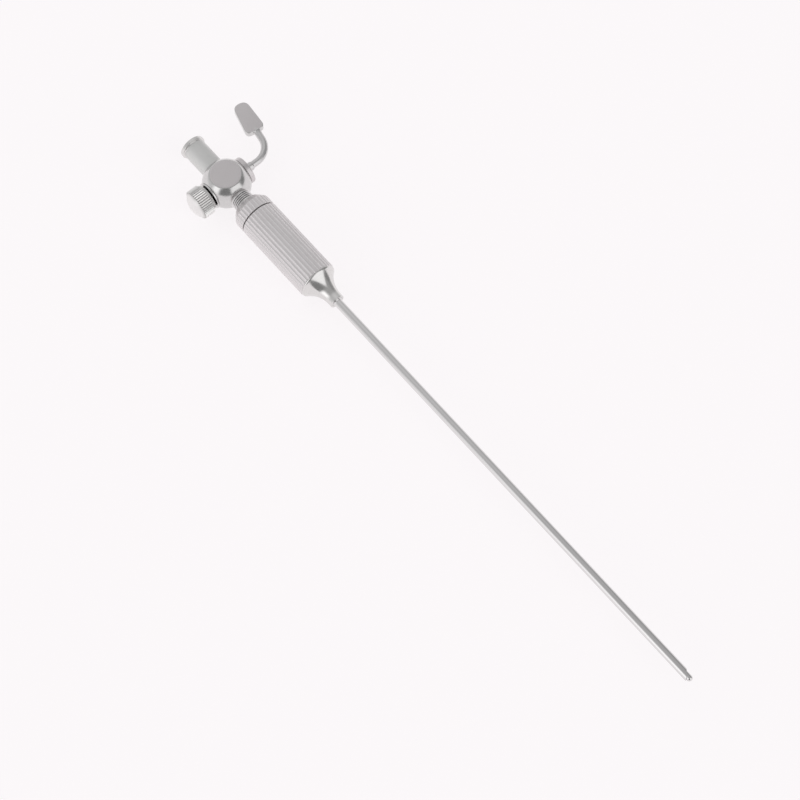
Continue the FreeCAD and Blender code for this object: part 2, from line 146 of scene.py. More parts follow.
def steel(name, colour, roughness, marks_per_metre, depth):
    """Steel with fine marks and faint clouds from handling.

    The marks are noise, with so many to the metre along X, Y and Z. They shift the roughness by a
    sixth either way and the colour a little, and stand up by depth, which is in millimetres. Broad
    noise clouds the roughness.
    """
    material = bpy.data.materials.new(name)
    material.use_nodes = True
    nodes = material.node_tree.nodes
    links = material.node_tree.links
    shader = nodes["Principled BSDF"]
    shader.inputs["Metallic"].default_value = 1
    place = nodes.new("ShaderNodeTexCoord")
    stretch = nodes.new("ShaderNodeMapping")
    stretch.inputs["Scale"].default_value = marks_per_metre
    links.new(place.outputs["Object"], stretch.inputs["Vector"])
    marks = nodes.new("ShaderNodeTexNoise")
    marks.inputs["Scale"].default_value = 1
    marks.inputs["Detail"].default_value = 3
    links.new(stretch.outputs["Vector"], marks.inputs["Vector"])
    clouds_per_metre = 180
    clouds = nodes.new("ShaderNodeTexNoise")
    clouds.inputs["Scale"].default_value = clouds_per_metre
    clouds.inputs["Detail"].default_value = 2
    links.new(place.outputs["Object"], clouds.inputs["Vector"])
    cloud_share = 0.5
    both = nodes.new("ShaderNodeMath")
    both.operation = "MULTIPLY_ADD"
    both.inputs[1].default_value = cloud_share
    links.new(clouds.outputs["Fac"], both.inputs[0])
    links.new(marks.outputs["Fac"], both.inputs[2])
    shine = nodes.new("ShaderNodeMapRange")
    shine.inputs["From Min"].default_value = 0.5
    shine.inputs["From Max"].default_value = 1.0
    shine.inputs["To Min"].default_value = roughness * 5 / 6
    shine.inputs["To Max"].default_value = roughness * 7 / 6
    links.new(both.outputs[0], shine.inputs["Value"])
    links.new(shine.outputs["Result"], shader.inputs["Roughness"])
    dull_share = 0.93
    tone = nodes.new("ShaderNodeValToRGB")
    tone.color_ramp.elements[0].position = 0.3
    tone.color_ramp.elements[0].color = (*(dull_share * value for value in colour), 1)
    tone.color_ramp.elements[1].position = 0.7
    tone.color_ramp.elements[1].color = (*colour, 1)
    links.new(marks.outputs["Fac"], tone.inputs["Fac"])
    links.new(tone.outputs["Color"], shader.inputs["Base Color"])
    relief = nodes.new("ShaderNodeBump")
    relief.inputs["Distance"].default_value = depth * mm
    links.new(marks.outputs["Fac"], relief.inputs["Height"])
    links.new(relief.outputs["Normal"], shader.inputs["Normal"])
    return material


def fit(piece, material, body, node):
    """Gives a piece its material and fixes it to its body, in the place of its CAD node."""
    piece.data.materials.append(material)
    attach(piece, body)
    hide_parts(node)


drawn_steel = steel("drawn_steel", colour=(0.78, 0.77, 0.77), roughness=0.15,
                    marks_per_metre=(90, 2600, 2600), depth=0.0015)
needle_point_x = reach_x("outer_cannula")[1]
needle_radius = 1.25
needle_bore_radius = 1.0
bevel_length = 2.4
bevel_slope = bevel_length / (2 * needle_radius)
shank_length = 6.0
shank_radius = 1.65
fillet_radius = 1.62
fillet_length = 0.02
tube = outline([(-shank_length, shank_radius, sharp), (0, fillet_radius, sharp),
                (fillet_length, needle_radius, 0.3), (needle_point_x, needle_radius, sharp),
                (needle_point_x, needle_bore_radius, sharp), (-shank_length, needle_bore_radius, sharp)])
tube_turn = around(128)
tube_radius = tube[:, 1:]
ground_off = (tube_radius * np.cos(tube_turn) + needle_radius) * bevel_slope
tube_station = tube[:, :1] - np.where(np.isclose(tube[:, :1], needle_point_x), ground_off, 0)
fit(skin("needle_tube", about_needle(tube_station, tube_radius, tube_turn)), drawn_steel,
    "handle", "outer_cannula")


# The blunt stylet is a thin tube with a closed round end that stands out of the needle's point. The
# gas leaves it through a side port. It keeps the CAD's shape.
def dress(node, material):
    """Gives a CAD node that keeps its own shape its material."""
    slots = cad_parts[node].data.materials
    slots.clear()
    slots.append(material)


dress("blunt_stylet", drawn_steel)


# The nose is turned from bar and polished on the lathe. A hollow flare sweeps from the needle out to
# a rounded shoulder and a plain land, and a spigot behind the land goes into the grip.
polished_steel = steel("polished_steel", colour=(0.78, 0.77, 0.76), roughness=0.18,
                       marks_per_metre=(5200, 60, 60), depth=0.0006)
nose_radius = 2.25
shank_hole_radius = 1.67
flare_x = -5.232
flare_sweep = 4.1
land_front_x = -8.3
land_radius = 5.72
grip_front_x = -8.65
spigot_rear_x = -14.9
spigot_radius = 4.31
gland_front_x = -10.0
gland_rear_x = -11.1
gland_radius = 1.98
seal_screw_hole_radius = 2.7
nose = outline([(spigot_rear_x, spigot_radius, 0.2), (grip_front_x, spigot_radius, sharp),
                (grip_front_x, land_radius, 0.05), (land_front_x, land_radius, 0.3),
                (flare_x, nose_radius, flare_sweep), (0, nose_radius, 0.2),
                (0, shank_hole_radius, 0.05), (-shank_length, shank_hole_radius, sharp),
                (-shank_length, needle_bore_radius, sharp), (gland_front_x, needle_bore_radius, sharp),
                (gland_front_x, gland_radius, sharp), (gland_rear_x, gland_radius, sharp),
                (gland_rear_x, seal_screw_hole_radius, sharp),
                (spigot_rear_x, seal_screw_hole_radius, 0.2)], steps=16)
fit(skin("flared_nose", about_needle(nose[:, :1], nose[:, 1:], around(192))), polished_steel,
    "handle", "nose_cone")


# Inside the nose an O-ring of red-brown silicone holds the gas back round the stylet. A hollow slotted
# screw of satin steel keeps it in.
def soft_plastic(name, colour, roughness, speckles_per_metre):
    """Plastic or rubber whose colour and roughness vary a little with fine noise."""
    material = bpy.data.materials.new(name)
    material.use_nodes = True
    nodes = material.node_tree.nodes
    links = material.node_tree.links
    shader = nodes["Principled BSDF"]
    place = nodes.new("ShaderNodeTexCoord")
    speckle = nodes.new("ShaderNodeTexNoise")
    speckle.inputs["Scale"].default_value = speckles_per_metre
    links.new(place.outputs["Object"], speckle.inputs["Vector"])
    dark_share = 0.88
    tone = nodes.new("ShaderNodeValToRGB")
    tone.color_ramp.elements[0].position = 0.3
    tone.color_ramp.elements[0].color = (*(dark_share * value for value in colour), 1)
    tone.color_ramp.elements[1].position = 0.7
    tone.color_ramp.elements[1].color = (*colour, 1)
    links.new(speckle.outputs["Fac"], tone.inputs["Fac"])
    links.new(tone.outputs["Color"], shader.inputs["Base Color"])
    shine = nodes.new("ShaderNodeMapRange")
    shine.inputs["To Min"].default_value = roughness - 0.1
    shine.inputs["To Max"].default_value = roughness + 0.1
    links.new(speckle.outputs["Fac"], shine.inputs["Value"])
    links.new(shine.outputs["Result"], shader.inputs["Roughness"])
    return material


o_ring_x = sum(reach_x("seal_ring")) / 2
o_ring_radius = 1.43
o_ring_half_thickness = 0.5
o_ring_turn = around(24)[:, None]
o_ring_station = o_ring_x - o_ring_half_thickness * np.cos(o_ring_turn)
o_ring_reach = o_ring_radius + o_ring_half_thickness * np.sin(o_ring_turn)
red_silicone = soft_plastic("red_silicone", colour=(0.55, 0.2, 0.12), roughness=0.6, speckles_per_metre=4000)
fit(skin("o_ring", about_needle(o_ring_station, o_ring_reach, around(96))), red_silicone,
    "handle", "seal_ring")
satin_steel = steel("satin_steel", colour=(0.72, 0.69, 0.695), roughness=0.4,
                    marks_per_metre=(8000, 8000, 8000), depth=0.003)
dress("seal_screw", satin_steel)


# The grip is a bored bar with 32 hollow-ground flutes, brushed along. The rounding at each end cuts off the
# crests, so every flute ends in a small scallop. The crests are painted brighter as a highlight, and the
# flutes darker as painted shade.
flute_count = 32
flute_depth = 0.17
flute_width = 0.86
grip_radius = 5.87
grip_rear_x = -34.6
grip_bore_radius = 4.33
grip_turn = around(24 * flute_count)
flute_across = np.abs((grip_turn * flute_count / (2 * np.pi) + 0.5) % 1 - 0.5) * 2 / flute_width
# Inside a flute the colour is painted darker as shade, and the crests keep the brighter colour as a painted
# highlight.
crest_edge = 1.08
crest_fade = 0.16
flute_shade = np.clip((crest_edge - flute_across) / crest_fade, 0, 1)


def fluted(name, line):
    """Mesh from an outline turned round the needle's axis and hollowed by the flutes.

    Across a flute the bar's radius is less by depth times 1 minus the square of the distance from the
    flute's middle, as a share of its half width, and the outline's radius holds where it is smaller.
    The hollow attribute is 0 along the crests, which keep the brighter colour as a painted highlight, and 1
    inside a flute, which is painted darker as shade.
    """
    bar = grip_radius - flute_depth * np.clip(1 - flute_across ** 2, 0, 1)
    return skin(name, about_needle(line[:, :1], np.minimum(line[:, 1:], bar), grip_turn), hollow=flute_shade)


def paint_hollow_shade(material, colour):
    """Turns the colour, as the piece's hollow attribute goes from 0 to 1, from its own to a darker one,
    which is painted shade.
    """
    nodes = material.node_tree.nodes
    links = material.node_tree.links
    shader = nodes["Principled BSDF"]
    own_colour = shader.inputs["Base Color"].links[0].from_socket
    hollow = nodes.new("ShaderNodeAttribute")
    hollow.attribute_name = "hollow"
    blend = nodes.new("ShaderNodeMixRGB")
    blend.inputs["Color2"].default_value = (*colour, 1)
    links.new(hollow.outputs["Fac"], blend.inputs["Fac"])
    links.new(own_colour, blend.inputs["Color1"])
    links.new(blend.outputs["Color"], shader.inputs["Base Color"])


fluted_steel = steel("fluted_steel", colour=(0.95, 0.945, 0.94), roughness=0.42,
                     marks_per_metre=(260, 5200, 5200), depth=0.004)
paint_hollow_shade(fluted_steel, (0.79, 0.76, 0.765))
barrel = outline([(grip_rear_x, grip_radius, 0.25), (grip_front_x, grip_radius, 0.45),
                  (grip_front_x, grip_bore_radius, 0.1), (grip_rear_x, grip_bore_radius, 0.1)], steps=18)
fit(fluted("fluted_grip", barrel), fluted_steel, "handle", "grip_barrel")


# The cap has the same flutes and is screwed into the grip's rear, where a thin dark seam stays. Its
# rear rim is turned off at a slant, and a plastic bush behind its lip guides the sleeve.
cap_rear_x = -40.0
cap_rim_radius = 4.27
cap_slant_x = -37.9
cap_front_x = -34.95
cap_spigot_x = -31.5
cap_lip_x = -38.6
cap_lip_radius = 3.4
bush_hole_radius = 3.77
cap = outline([(cap_rear_x, cap_rim_radius, 0.12), (cap_slant_x, grip_radius, 0.4),
               (cap_front_x, grip_radius, 0.25), (cap_front_x, spigot_radius, sharp),
               (cap_spigot_x, spigot_radius, 0.2), (cap_spigot_x, bush_hole_radius, sharp),
               (cap_lip_x, bush_hole_radius, sharp), (cap_lip_x, cap_lip_radius, sharp),
               (cap_rear_x, cap_lip_radius, 0.1)], steps=18)
fit(fluted("fluted_cap", cap), fluted_steel, "handle", "end_cap")
white_ptfe = soft_plastic("white_ptfe", colour=(0.88, 0.87, 0.84), roughness=0.45, speckles_per_metre=1500)
dress("guide_bush", white_ptfe)


# The return spring is wound from round wire with a closed turn at each end. It stands between the cap and
# the sleeve's collar. On the real needle it shortens by 4 mm as the stylet goes back, but here it is built
# at one length and does not shorten.
spring_wire = 0.6
spring_turns = 9.5
spring_radius = 3.8
spring_start_x, spring_end_x = reach_x("return_spring")
spring_first_x = spring_start_x + spring_wire / 2
spring_last_x = spring_end_x - spring_wire / 2
spring_along = np.linspace(0, 1, 480)[:, None]
# The wire moves forward by its own thickness in the first turn and in the last, and evenly between.
spring_x = np.interp(spring_along, [0, 1 / spring_turns, 1 - 1 / spring_turns, 1],
                     [spring_first_x, spring_first_x + spring_wire,
                      spring_last_x - spring_wire, spring_last_x])
wire_turn = around(16)
spring = skin("coil_spring", about_needle(spring_x - spring_wire / 2 * np.sin(wire_turn),
                                          spring_radius + spring_wire / 2 * np.cos(wire_turn),
                                          2 * np.pi * spring_turns * spring_along), loop=False)
spring_steel = steel("spring_wire", colour=(0.5, 0.5, 0.51), roughness=0.3,
                     marks_per_metre=(3000, 3000, 3000), depth=0.003)
fit(spring, spring_steel, "handle", "return_spring")
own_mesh(spring)


# The sleeve slides in the bush and shows behind the cap when the stylet goes back. Its collar takes
# the spring. Both are polished and keep the CAD's shape.
dress("guide_sleeve", polished_steel)
dress("spring_collar", polished_steel)


# The neck between the cap and the valve is a right-hand screw thread, its grooves painted darker as shade.
# It is part of the sliding stylet, as all that follows is.
thread_pitch = 0.6
thread_depth = 0.32
thread_run_out = 0.2
neck_radius = 3.25
neck_rear_x = reach_x("valve_body")[1]
neck_front_x = reach_x("guide_sleeve")[0]
neck_turn = around(160)
neck_x = np.linspace(neck_rear_x, neck_front_x, 120)[:, None]
neck_run_out = np.clip(np.minimum(neck_x - neck_rear_x, neck_front_x - neck_x) / thread_run_out, 0, 1)
# The phase gains a turn with each pitch along the neck and loses one with each turn round it. The
# groove's share of the full depth is (1/2 - cos(phase)/2) to the power 1.5.
neck_phase = neck_x / thread_pitch - neck_turn / (2 * np.pi)
neck_groove = neck_run_out * (0.5 - 0.5 * np.cos(2 * np.pi * neck_phase)) ** 1.5
stem_front_x = -36.62
stem_front_radius = 2.2
stem_bore_radius = 0.92
stem_tail_length = 0.3
stem_rear_x = neck_rear_x - stem_tail_length
stem_rear_radius = 3.0
stem = outline([(neck_front_x, stem_front_radius, sharp), (stem_front_x, stem_front_radius, 0.1),
                (stem_front_x, stem_bore_radius, sharp), (stem_rear_x, stem_bore_radius, sharp),
                (stem_rear_x, stem_rear_radius, sharp)])
neck_rings = np.concatenate([about_needle(neck_x, neck_radius - thread_depth * neck_groove, neck_turn),
                             about_needle(stem[:, :1], stem[:, 1:], neck_turn)])
neck_hollow = np.concatenate([neck_groove, np.zeros((len(stem), len(neck_turn)))])
threaded_steel = steel("threaded_steel", colour=(0.98, 0.97, 0.97), roughness=0.35,
                       marks_per_metre=(5200, 60, 60), depth=0.0006)
# The thread's grooves get a near black colour as painted shade.
paint_hollow_shade(threaded_steel, (0.3, 0.29, 0.29))
fit(skin("threaded_neck", neck_rings, hollow=neck_hollow), threaded_steel,
    "stylet", "threaded_stem")


# The valve is a ball turned bright from bar, with a satin flat above and below. It has seats for the
# neck, the gas socket and both ends of the key, and a tapered hole for the key.
key_x = -49.4
ball_radius = 7.1
ball_flat = 5.4
ball_front_seat = 6.3
ball_rear_seat = 6.1
ball_key_seat = 5.8
ball_sharpness = 70


def about_key(station, radius, angle):
    """Points on rings about the key's axis: X is the key's plus radius times sine, Z radius times cosine."""
    return np.stack(np.broadcast_arrays(key_x + radius * np.sin(angle), station, radius * np.cos(angle)),
                    axis=-1)


def cut_ball(station, angle):
    """Radius of the ball about the key's axis, cut off by its two flats and two seats.

    It is about the smallest of the ball's circle and the four cuts' distances along the angle: the
    sum of their -n-th powers to the power -1/n, where n is the sharpness of the edges between them.
    """
    total = (ball_radius ** 2 - station ** 2) ** (-ball_sharpness / 2)
    total = total + (np.abs(np.cos(angle)) / ball_flat) ** ball_sharpness
    total = total + (np.clip(np.sin(angle), 0, 1) / ball_front_seat) ** ball_sharpness
    total = total + (np.clip(-np.sin(angle), 0, 1) / ball_rear_seat) ** ball_sharpness
    return total ** (-1 / ball_sharpness)


def blast_flats(piece):
    """Gives the satin finish to a piece's level faces, and leaves its sides bright.

    A face is level where its normal's Z is over 0.97 up or down.
    """
    piece.data.materials.append(satin_steel)
    upright = np.empty(3 * len(piece.data.polygons))
    piece.data.polygons.foreach_get("normal", upright)
    level = np.abs(upright[2::3]) > 0.97
    piece.data.polygons.foreach_set("material_index", level.astype(int))


ball_turn = around(400)
ball_y = ball_key_seat * np.sin(np.linspace(-np.pi / 2, np.pi / 2, 170))[:, None]
seat_radius = 4.0
plug_wide_hole_radius = 3.58
plug_narrow_hole_radius = 3.0
key_hole = outline([(ball_key_seat, seat_radius, sharp), (ball_key_seat, plug_wide_hole_radius, sharp),
                    (-ball_key_seat, plug_narrow_hole_radius, sharp), (-ball_key_seat, seat_radius, sharp)])
ball = skin("valve_ball", np.concatenate([about_key(ball_y, cut_ball(ball_y, ball_turn), ball_turn),
                                          about_key(key_hole[:, :1], key_hole[:, 1:], ball_turn)]))
bright_steel = steel("bright_steel", colour=(0.68, 0.675, 0.67), roughness=0.2,
                     marks_per_metre=(2400, 2400, 2400), depth=0.001)
fit(ball, bright_steel, "stylet", "valve_body")
blast_flats(ball)


# The gas socket is turned with a tapered bore and a locking rim, and brazed into the valve's rear.
# The tube has a fine satin finish and the rim is polished.
socket_mouth_x = -65.6
socket_rim_x = -64.5
socket_rim_radius = 3.915
socket_radius = 3.4
socket_front_x = -55.2
passage_radius = 1.25
cone_end_x = -57.4
cone_start_x = -58.1
cone_radius = 1.9125
cone_mouth_radius = 2.1375
polish_end_x = -64.3
socket = outline([(socket_mouth_x, socket_rim_radius, 0.2), (socket_rim_x, socket_rim_radius, 0.22),
                  (socket_rim_x, socket_radius, 0.3), (socket_front_x, socket_radius, sharp),
                  (socket_front_x, passage_radius, sharp), (cone_end_x, passage_radius, sharp),
                  (cone_start_x, cone_radius, 0.1), (socket_mouth_x, cone_mouth_radius, 0.12)])
gas_socket = skin("gas_socket", about_needle(socket[:, :1], socket[:, 1:], around(192)))
turned_satin = steel("turned_satin", colour=(0.84, 0.84, 0.83), roughness=0.6,
                     marks_per_metre=(5200, 700, 700), depth=0.002)
fit(gas_socket, turned_satin, "stylet", "luer_socket")
gas_socket.data.materials.append(polished_steel)
socket_middle = np.empty(3 * len(gas_socket.data.polygons))
gas_socket.data.polygons.foreach_get("center", socket_middle)
gas_socket.data.polygons.foreach_set("material_index", (socket_middle[::3] < polish_end_x * mm).astype(int))


# The key is a lapped taper plug of satin steel with a round head on the lever's side. The threaded
# tail at its small end carries a washer, a wave washer and the nut.
plug_tail_y = -11.6
plug_tail_radius = 1.5
plug_tail_end_y = -6.3
plug_small_y = -5.5
plug_small_radius = 2.985
plug_large_radius = 3.55
plug_head_y = 5.82
plug_head_radius = 4.15
plug_head_top_y = 7.3
lever_hole_radius = 1.2
plug = outline([(plug_tail_y, plug_tail_radius, sharp), (plug_tail_end_y, plug_tail_radius, sharp),
                (plug_small_y, plug_small_radius, 0.1), (ball_key_seat, plug_large_radius, sharp),
                (plug_head_y, plug_head_radius, 0.15), (plug_head_top_y, plug_head_radius, 0.4),
                (plug_head_top_y, lever_hole_radius, sharp)])
fit(skin("key_plug", about_key(plug[:, :1], plug[:, 1:], around(160)), loop=False), satin_steel,
    "key", "valve_plug")


# The lever is a drawn steel rod with a collar on the plug's head. It bends round towards the gas
# socket and is brazed into the finger plate, with a small fillet of braze.
bend_start_y = 10.9
bend_radius = 6.0
bend_angle = math.radians(80)
lever_run = 2.8
lever_tongue = 1.0
lever_seat_y = 7.2
lever_radius = 1.05
collar_length = 2.1
collar_step = 0.25
braze_rise = 0.22
braze_reach = 0.35
foot_length = bend_start_y - lever_seat_y
arc_length = bend_radius * bend_angle
lever_length = foot_length + arc_length + lever_run + lever_tongue
# Along the rod the bend is the length past the foot over the bend's radius. In the bend X falls by
# radius (1 - cos) and Y grows by radius sin, and past it the rod runs straight on.
lever_along = np.linspace(0, lever_length, 150)[:, None]
lever_bend = np.clip((lever_along - foot_length) / bend_radius, 0, bend_angle)
lever_straight = np.clip(lever_along - foot_length - arc_length, 0, None)
lever_foot = np.minimum(lever_along, foot_length)
lever_x = key_x - bend_radius * (1 - np.cos(lever_bend)) - lever_straight * np.sin(lever_bend)
lever_y = (lever_seat_y + lever_foot + bend_radius * np.sin(lever_bend)
           + lever_straight * np.cos(lever_bend))
collar_share = np.clip((collar_length - lever_along) / collar_step, 0, 1)
braze_share = np.exp(-np.abs(lever_along - lever_length + lever_tongue) / braze_reach)
lever_width = lever_radius + collar_step * np.sqrt(collar_share) + braze_rise * braze_share
rod_turn = around(48)
rod_side = lever_width * np.sin(rod_turn)
rod_height = lever_width * np.cos(rod_turn)
lever_rings = np.stack([lever_x + rod_side * np.cos(lever_bend), lever_y + rod_side * np.sin(lever_bend),
                        rod_height], axis=-1)
drawn_rod = steel("drawn_rod", colour=(0.70, 0.69, 0.69), roughness=0.33,
                  marks_per_metre=(5200, 5200, 5200), depth=0.002)
fit(skin("bent_lever", lever_rings, loop=False), drawn_rod, "key", "lever_arm")


# The finger plate is cut from flat bar, a little narrower at its far end, with rounded corners. Its
# faces are satin and its edges bright, as on the valve.
plate_length = 10.35
plate_edge = 0.2
plate_half_thickness = 1.0
plate_near_sides = (-2.75, 3.35)
plate_near_cut = 1.8
plate_far_sides = (-1.9, 2.4)
plate_far_cut = 2.1
plate = outline([(0, plate_near_sides[0], plate_near_cut),
                 (plate_length, plate_far_sides[0], plate_far_cut),
                 (plate_length, plate_far_sides[1], plate_far_cut),
                 (0, plate_near_sides[1], plate_near_cut)], steps=20)
plate_side = np.roll(plate, -1, axis=0) - np.roll(plate, 1, axis=0)
plate_side /= np.linalg.norm(plate_side, axis=1, keepdims=True)
plate_out = np.stack([plate_side[:, 1], -plate_side[:, 0]], axis=-1)
# The edge is a quarter circle up and down. At each lean the outline is drawn in by edge (1 - cos) and
# stands edge sin past the start of the curve.
edge_lean = np.linspace(0, np.pi / 2, 9)
plate_lean = np.concatenate([-edge_lean[::-1], edge_lean])[:, None, None]
plate_face = np.repeat([-1, 1], len(edge_lean))[:, None, None]
plate_inset = plate - plate_edge * (1 - np.cos(plate_lean)) * plate_out
plate_z = plate_face * (plate_half_thickness - plate_edge) + plate_edge * np.sin(plate_lean)
plate_start_x = lever_x[-1] + lever_tongue * math.sin(bend_angle)
plate_start_y = lever_y[-1] - lever_tongue * math.cos(bend_angle)
plate_u = plate_inset[..., 0]
plate_v = plate_inset[..., 1]
plate_rings = np.stack(np.broadcast_arrays(
    plate_start_x - plate_u * math.sin(bend_angle) - plate_v * math.cos(bend_angle),
    plate_start_y + plate_u * math.cos(bend_angle) - plate_v * math.sin(bend_angle),
    plate_z[..., 0]), axis=-1)
finger_plate = skin("finger_plate", plate_rings, loop=False)
fit(finger_plate, bright_steel, "key", "lever_paddle")
blast_flats(finger_plate)


# A thin polished washer turns with the plug, and a wave washer of spring steel under the nut keeps the taper
# drawn in. The wave washer is coloured near black as painted shade, so that the gap between the washer and
# the nut shows dark.
washer_radius = 4.2
washer_hole_radius = 1.62
washer_outer_y = -6.35
washer_inner_y = -5.85
washer = outline([(washer_outer_y, washer_radius, 0.1), (washer_inner_y, washer_radius, 0.1),
                  (washer_inner_y, washer_hole_radius, sharp), (washer_outer_y, washer_hole_radius, sharp)])
polished_key = steel("polished_key", colour=(0.72, 0.715, 0.71), roughness=0.2,
                     marks_per_metre=(60, 5200, 60), depth=0.0008)
fit(skin("bright_washer", about_key(washer[:, :1], washer[:, 1:], around(160))), polished_key,
    "key", "key_washer")
wave_radius = 3.3
wave_hole_radius = 1.6
wave_outer_y = -6.73
wave_inner_y = -6.47
wave_height = 0.08
wave = outline([(wave_outer_y, wave_radius, 0.08), (wave_inner_y, wave_radius, 0.08),
                (wave_inner_y, wave_hole_radius, sharp), (wave_outer_y, wave_hole_radius, sharp)])
wave_turn = around(120)
wave_station = wave[:, :1] + wave_height * np.cos(3 * wave_turn)
# Near black as painted shade in the gap under the nut.
painted_shade_steel = steel("painted_shade_steel", colour=(0.025, 0.025, 0.028), roughness=0.5,
                    marks_per_metre=(3000, 3000, 3000), depth=0.001)
fit(skin("wave_washer", about_key(wave_station, wave[:, 1:], wave_turn)), painted_shade_steel,
    "key", "spring_washer")


# The thumb nut is knurled with 40 straight ridges crossed by fine rings, and ends in a smooth dome.
# A plain taper leads from its front face to the knurl, and its threaded hole is blind.
nut_radius = 4.6
nut_ridges = 40
nut_turn = around(12 * nut_ridges)
knurl_root_radius = 3.7
knurl_depth = 0.32
knurl_ring_depth = 0.04
knurl_ring_pitch = 0.65
knurl_outer_y = -11.1
knurl_inner_y = -7.85
knurl_overlap = 0.01
dome_rise = 1.75
dome_edge = 4.35
dome_radius = (dome_edge ** 2 + dome_rise ** 2) / (2 * dome_rise)
dome_angle = np.linspace(0.03, math.asin(dome_edge / dome_radius), 24)
dome = np.stack([knurl_outer_y - dome_rise + dome_radius * (1 - np.cos(dome_angle)),
                 dome_radius * np.sin(dome_angle)], axis=-1)
knurl_y = np.linspace(knurl_outer_y, knurl_inner_y, 60)
knurl = np.stack([knurl_y, np.full_like(knurl_y, nut_radius)], axis=-1)
taper_start_radius = 4.36
taper_end_y = -7.0
taper_end_radius = 3.95
nut_face_y = -6.85
nut_face_radius = 3.8
nut_hole_radius = 1.52
nut_hole_end_y = -11.65
drill_tip_radius = 0.3
nut_front = outline([(knurl_inner_y, taper_start_radius, sharp), (taper_end_y, taper_end_radius, 0.1),
                     (nut_face_y, nut_face_radius, 0.05), (nut_face_y, nut_hole_radius, sharp),
                     (nut_hole_end_y, nut_hole_radius, sharp), (nut_hole_end_y, drill_tip_radius, sharp)])
nut_line = np.concatenate([dome, knurl, nut_front])
nut_y = nut_line[:, :1]
knurled = np.clip((nut_line[:, 1:] - knurl_root_radius) / (nut_radius - knurl_root_radius), 0, 1)
knurled[nut_y < knurl_outer_y - knurl_overlap] = 0
# The ridge falls straight from 0 on its crest to 1 in the groove. The rings are a cosine along the
# nut, and both only count where the line is wide.
ridge = np.abs(nut_turn * nut_ridges / (2 * np.pi) % 1 - 0.5) * 2
ring_wave = 0.5 - 0.5 * np.cos(2 * np.pi * (nut_y - knurl_outer_y) / knurl_ring_pitch)
nut_surface = nut_line[:, 1:] - knurled * (knurl_depth * ridge + knurl_ring_depth * ring_wave)
# The knurl's grooves are painted near black as shade. The dome is painted a little darker all over, and
# darker still towards its rim by the knurl, as painted shade.
dome_shade_radius = 3.6
rim_shade_share = np.clip((dome[:, 1:] - dome_shade_radius) / (dome_edge - dome_shade_radius), 0, 1)
groove_narrowness = 2.8
nut_hollow = knurled * np.clip(1 - groove_narrowness * (1 - ridge), 0, 1)
dome_painted_shade = 0.1
rim_painted_shade = 0.3
nut_hollow[:len(dome)] = dome_painted_shade + rim_painted_shade * rim_shade_share
knurled_steel = steel("knurled_steel", colour=(1.0, 0.99, 0.98), roughness=0.36,
                      marks_per_metre=(3000, 5200, 3000), depth=0.001)
paint_hollow_shade(knurled_steel, (0.12, 0.117, 0.113))
fit(skin("knurled_nut", about_key(nut_y, nut_surface, nut_turn), loop=False, hollow=nut_hollow),
    knurled_steel, "key", "thumb_nut")


# The table is a smooth white sheet, 6 metres wide. It shows nearly white to the camera and in the
# steel, and the rest of its brightness is light that falls on it.
table_reach = 3.0
table_height = cad_box[0][2]
table_glow_level = 0.822
bpy.ops.mesh.primitive_plane_add(size=2 * table_reach, location=(0, 0, table_height))
table = bpy.context.object
table.name = "table"
table.data.transform(table.matrix_world)
table.matrix_world.identity()
table_paint = bpy.data.materials.new("table_white")
table_paint.use_nodes = True
table_nodes = table_paint.node_tree.nodes
table_links = table_paint.node_tree.links
table_shader = table_nodes["Principled BSDF"]
table_shader.inputs["Base Color"].default_value = (0.24, 0.235, 0.24, 1)
table_shader.inputs["Roughness"].default_value = 0.9
table_shader.inputs["Specular IOR Level"].default_value = 0.1
table_shader.inputs["Emission Color"].default_value = (1, 0.97, 0.981, 1)
table_rays = table_nodes.new("ShaderNodeLightPath")
table_seen = table_nodes.new("ShaderNodeMath")
table_seen.operation = "MAXIMUM"
table_links.new(table_rays.outputs["Is Camera Ray"], table_seen.inputs[0])
table_links.new(table_rays.outputs["Is Glossy Ray"], table_seen.inputs[1])
table_glow = table_nodes.new("ShaderNodeMath")
table_glow.operation = "MULTIPLY"
table_glow.inputs[1].default_value = table_glow_level
table_links.new(table_seen.outputs[0], table_glow.inputs[0])
table_links.new(table_glow.outputs[0], table_shader.inputs["Emission Strength"])
table.data.materials.append(table_paint)


# The studio is a pale room that the steel mirrors. Behind, over and ahead of the needle its walls
# are lit by how far a direction leans from straight up to the nut's side, and a bright sheet hangs
# ahead. To the camera it shows nearly white.
room_level = 1.5
room_shown = 0.96
room = bpy.data.worlds.new("studio")
bpy.context.scene.world = room
room.use_nodes = True
room_nodes = room.node_tree.nodes
room_links = room.node_tree.links
room_place = room_nodes.new("ShaderNodeTexCoord")
room_parts = room_nodes.new("ShaderNodeSeparateXYZ")
room_links.new(room_place.outputs["Generated"], room_parts.inputs[0])
room_side = room_nodes.new("ShaderNodeMath")
room_side.operation = "MULTIPLY"
room_side.inputs[1].default_value = -1
room_links.new(room_parts.outputs["Y"], room_side.inputs[0])
room_lean = room_nodes.new("ShaderNodeMath")
room_lean.operation = "ARCTAN2"
room_links.new(room_side.outputs[0], room_lean.inputs[0])
room_links.new(room_parts.outputs["Z"], room_lean.inputs[1])
room_turn = room_nodes.new("ShaderNodeMapRange")
room_turn.inputs["From Min"].default_value = -math.pi
room_turn.inputs["From Max"].default_value = math.pi
room_links.new(room_lean.outputs[0], room_turn.inputs["Value"])


def light_wall(lean_and_light):
    """Brightness round the needle's line, as a ramp through pairs of lean in degrees and light."""
    ramp = room_nodes.new("ShaderNodeValToRGB")
    ramp.color_ramp.interpolation = "EASE"
    room_links.new(room_turn.outputs["Result"], ramp.inputs["Fac"])
    for lean, light in lean_and_light:
        step = ramp.color_ramp.elements.new((lean + 180) / 360)
        share = light / room_level
        step.color = (share, share, share, 1)
    ramp.color_ramp.elements.remove(ramp.color_ramp.elements[0])
    ramp.color_ramp.elements.remove(ramp.color_ramp.elements[-1])
    return ramp.outputs["Color"]


